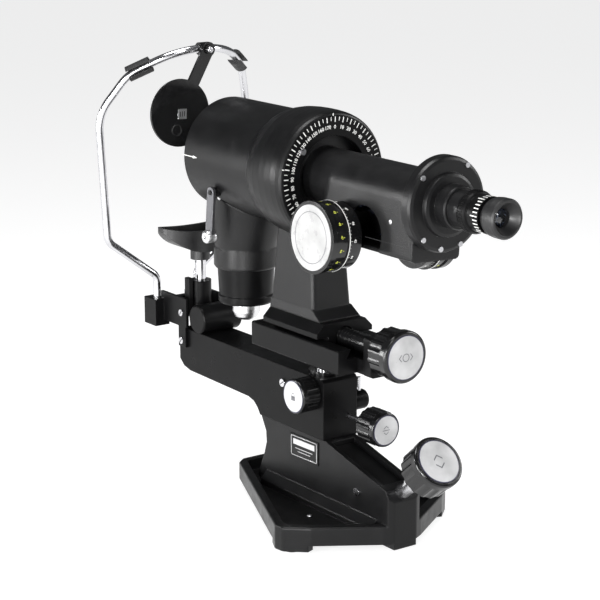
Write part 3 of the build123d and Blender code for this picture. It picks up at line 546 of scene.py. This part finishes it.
def head_screws():
    """Bright screws in the head's side and on the lamp's elbow."""
    heads = Build()
    screw_head(heads, (-0.0405, 0.040, 0.315), (-0.67, 0, -0.72), 3.0 * MM)
    screw_head(heads, (-0.0437, 0.117, 0.3192), (-0.97, -0.1, -0.2), 2.4 * MM)
    heads.done("head_screws", "alloy", "head", "silver_alloy", True)


def case_fittings():
    """Screw and seam on the left side of the telescope's case."""
    heads = Build()
    screw_head(heads, ROLLED @ Vector((-0.0289, -0.153, 0.336)), (-1, 0, 0.04), 2.2 * MM)
    heads.done("case_screw", "alloy", "telescope", "silver_alloy", True)
    seam = Build()
    place = axes((-0.029, -0.151, 0.3155), (0, 1, 0), (0, 0, 1))
    seam.box((71 * MM, 0.6 * MM, 2 * SKIN), ROLLED @ place)
    seam.done("case_seam", "dark", "telescope", "matt_black")


def well_screw():
    """Bright screw in the floor of the base's left well."""
    heads = Build()
    screw_head(heads, (-0.044, -0.044, 0.014), (0, 0, 1), 3.0 * MM)
    heads.done("well_screw", "steel", "base", "steel", True)


def lever_end():
    """Bright round end over the lever's end knob."""
    ball = Build()
    ball.ring(in_mm(LEVER_KNOB), axes((-0.0565, 0.1145, 0.280), (0, 1, 0), (0, 0, 1)), 48)
    ball.done("lever_end", "alloy", "lever", "silver_alloy", True)


def eye_cover_details():
    """Square tag, small ring and pivot screw on the eye cover."""
    face_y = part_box("occluder_blade")[0].y
    across, up = (1, 0, -0.05), (0.05, 0, 1)
    at = Vector((-0.035, face_y, 0.3966))
    tag = Build()
    tag.box((11 * MM, 11 * MM, 2 * SKIN), axes(at, across, up))
    tag.done("eye_cover_tag", "alloy", "occluder", "silver_alloy")
    lines = Build()
    for shift in (-2.6, 0, 2.6):
        lines.box((0.9 * MM, 5.5 * MM, 2 * SKIN), axes(at + Vector((shift * MM, -SKIN, 0)), across, up))
    lines.done("eye_cover_tag_marks", "dark", "occluder", "matt_black")
    ring = Build()
    place = axes((-0.0425, face_y, 0.380), (1, 0, 0), (0, 0, 1))
    ring.band((5.0 * MM, 6.2 * MM), (0, 0.5 * MM), place, 48)
    ring.done("eye_cover_ring", "gloss", "occluder", "gloss_black", True)
    pin = Build()
    pin_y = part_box("occluder_pivot")[0].y + 0.1 * MM
    screw_head(pin, (0, pin_y, 0.4635), TO_OPERATOR, 3.4 * MM)
    pin.done("eye_cover_screw", "steel", "base", "steel", True)


side_pointer()
head_screws()
case_fittings()
well_screw()
lever_end()
eye_cover_details()


# ---- plates and screws -----------------------------------------------------------------------------
def plate_marks():
    """Silver border, block and plain lines of the blank name plate."""
    border = Build()
    place = axes((-0.02102, -0.0025, 0.0703), (0, -1, 0.02), (0, 0.02, 1))
    width, height, line = 45 * MM, 21.6 * MM, 0.7 * MM
    for s in (-1, 1):
        border.box((width, line, 3 * SKIN), place @ moved(0, s * (height - line) / 2))
        border.box((line, height, 3 * SKIN), place @ moved(s * (width - line) / 2, 0))
    border.box((width - 8 * MM, 6.0 * MM, 3 * SKIN), place @ moved(0, 4.6 * MM))
    for i, length in enumerate((30, 22)):
        border.box((length * MM, line, 3 * SKIN), place @ moved(0, (-2.2 - i * 3.2) * MM))
    border.done("plate_border", "alloy", "base", "silver_alloy")


SIDE_SCREWS = [(33.5, 133.5, 23.3, 4.2), (-92, 49, 21.8, 4.2),
               (223, 138, 26.8, 3.8), (223, 170, 26.8, 3.8)]    # Y, Z, the face's X and the radius, in mm


def screw_slot_shade():
    """Painted shade: flat near-black bars on the side screws' heads, standing in for the shade down their
    slots.
    """
    slots = Build()
    # painted shade: each bar is darkness where a slot's hollow would be shaded
    for y, z, x, r in SIDE_SCREWS:
        turn = 0.6 * r
        for s in (-1, 1):
            place = axes(Vector((s * x, y, z)) * MM, (0, cos(turn), sin(turn)), (0, -sin(turn), cos(turn)))
            slots.box((1.5 * r * MM, 0.9 * MM, 3 * SKIN), place)
    slots.done("screw_slot_shade", "dark", "base", "matt_black")


plate_marks()
screw_slot_shade()


# ---- knob inlays -----------------------------------------------------------------------------------
def inlay_marks(name, body, direction, radius, drawing):
    """Dark border line and a small plain pictogram on a knob's inlay."""
    z = Vector(direction).normalized()
    x = Vector((1, 0, 0)) if abs(z.x) < 0.5 else Vector(TO_OPERATOR)
    y = z.cross(x).normalized()
    place = axes(cap_face(name + "_cap", direction), x, y)
    mark = Build()
    drawing(mark, place)
    mark.done(name + "_mark", "grey_ink", body, "gloss_black")
    edge = Build()
    inner, outer = radius - 0.7 * MM, radius + 0.15 * MM
    edge.ring([(inner, -0.5 * MM), (outer, -0.5 * MM), (outer, -0.05 * MM), (inner, SKIN)], place)
    edge.done(name + "_edge", "blue_ink", body, "gloss_black")


ARROW_TIP = [(-1, 0), (0, 0.8), (1, 0), (1, -0.3), (0, 0.5), (-1, -0.3)]


def arrows(mark, place, size, gap, turn):
    """Two thin arrow heads that point away from each other."""
    tip = [(x * size, y * size) for x, y in ARROW_TIP]
    for half_turn in (0, pi):
        spin = Matrix.Rotation(turn + half_turn, 4, "Z")
        mark.plate(tip, SKIN, place @ spin @ moved(0, gap))


def up_down(mark, place):
    """Arrow heads one above the other."""
    arrows(mark, place, 5.2 * MM, 3.2 * MM, 0)


def near_far(mark, place):
    """Arrow heads on either side of a ring."""
    arrows(mark, place, 3.4 * MM, 6.0 * MM, pi / 2)
    mark.band((3.4 * MM, 4.2 * MM), (0, SKIN), place, 32)


def chin_sign(mark, place):
    """Arrow heads above and under a bar."""
    arrows(mark, place, 3.0 * MM, 2.4 * MM, 0)
    mark.box((9 * MM, 0.8 * MM, 2 * SKIN), place)


def lock_sign(mark, place):
    """Small padlock."""
    mark.box((6.6 * MM, 4.8 * MM, 2 * SKIN), place @ moved(0, -1.7 * MM))
    mark.band((1.7 * MM, 2.5 * MM), (0, SKIN), place @ moved(0, 1.7 * MM), 32)


def cap_face(node, direction):
    """Middle of an inlay's front face."""
    low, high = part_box(node)
    middle = (low + high) / 2
    way = Vector(direction)
    reach = max((Vector(v.co) - middle).dot(way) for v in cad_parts[node].data.vertices)
    return middle + way * reach


inlay_marks("updown", "updown_drive", KNOB_DIR, 22.3 * MM, up_down)
inlay_marks("focus", "focus_drive", TO_OPERATOR, 22.4 * MM, near_far)
inlay_marks("chin", "chin_knob_drive", TO_OPERATOR, 15.6 * MM, chin_sign)
inlay_marks("lock", "lock", TO_LEFT, 16.6 * MM, lock_sign)


# ---- stage -----------------------------------------------------------------------------------------
FLOOR_REACH = 6.0             # how far the floor goes each way from the middle
FLOOR_LEVEL = 0.35


def floor_white():
    """Pale matt surface with a trace of unevenness and a glow of its own."""
    white = (FLOOR_LEVEL,) * 3
    paint = Paint("floor_white", white, 0.7, Emission_Color=(1, 1, 1, 1), Emission_Strength=0.8)
    paint.tint(paint.noise(3, 3), scaled(white, 0.985), white)
    return paint.mat


def floor():
    """Plain flat floor that goes well past the picture's edges."""
    mesh = bpy.data.meshes.new("floor")
    bm = bmesh.new()
    corners = [(-1, -1), (1, -1), (1, 1), (-1, 1)]
    bm.faces.new([bm.verts.new((x * FLOOR_REACH, y * FLOOR_REACH, 0)) for x, y in corners])
    bm.to_mesh(mesh)
    bm.free()
    made = bpy.data.objects.new("floor", mesh)
    bpy.context.scene.collection.objects.link(made)
    mesh.materials.append(floor_white())


def area_light(name, at, target, size, power):
    """Soft rectangular light aimed at a point."""
    data = bpy.data.lights.new(name, "AREA")
    data.shape = "RECTANGLE"
    data.size, data.size_y = size
    data.energy = power
    lamp = bpy.data.objects.new(name, data)
    bpy.context.scene.collection.objects.link(lamp)
    lamp.location = at
    lamp.rotation_euler = (Vector(target) - Vector(at)).to_track_quat("-Z", "Y").to_euler()


def surroundings(ambient_level):
    """White backdrop for the camera and faint ambient light for the object."""
    world = bpy.data.worlds.new("studio")
    world.use_nodes = True
    sky = world.node_tree
    backdrop = sky.nodes["Background"]
    backdrop.inputs["Color"].default_value = (1, 1, 1, 1)
    backdrop.inputs["Strength"].default_value = 1.0
    ambient = sky.nodes.new("ShaderNodeBackground")
    ambient.inputs["Color"].default_value = (0.94, 0.97, 1, 1)
    ambient.inputs["Strength"].default_value = ambient_level
    seen = sky.nodes.new("ShaderNodeLightPath")
    either = sky.nodes.new("ShaderNodeMixShader")
    sky.links.new(seen.outputs["Is Camera Ray"], either.inputs["Fac"])
    sky.links.new(ambient.outputs["Background"], either.inputs[1])
    sky.links.new(backdrop.outputs["Background"], either.inputs[2])
    sky.links.new(either.outputs["Shader"], sky.nodes["World Output"].inputs["Surface"])
    bpy.context.scene.world = world
    bpy.context.scene.view_settings.view_transform = "Standard"


def view_from(location, tilt, turn, lens):
    """Camera at a place, tilted up from straight down and turned about the vertical, in degrees."""
    data = bpy.data.cameras.new("camera")
    data.lens = lens
    data.sensor_width = 36
    camera = bpy.data.objects.new("camera", data)
    bpy.context.scene.collection.objects.link(camera)
    camera.location = location
    camera.rotation_euler = (radians(tilt), 0, radians(turn))
    bpy.context.scene.camera = camera


floor()
area_light("key_left", (-1.5, -0.05, 0.32), (0, 0, 0.3), (0.4, 0.6), 22)
area_light("left_strip", (-1.19, 1.07, 0.38), (0, 0, 0.36), (0.12, 0.4), 7)
area_light("front_strip", (-1.45, -1.25, 0.45), (0, 0, 0.25), (0.22, 0.8), 30)
area_light("front_fill", (-0.4, -2.1, 1.5), (0, 0, 0.2), (0.6, 0.6), 14)
area_light("right_rim", (1.5, -0.9, 0.9), (0, 0, 0.25), (0.5, 0.9), 14)
area_light("top", (-0.2, 0.1, 1.9), (0, 0, 0.2), (0.8, 0.8), 24)
surroundings(0.1)
view_from((-1.1646, -1.5698, 0.7170), 75.9, -36, 117.9)
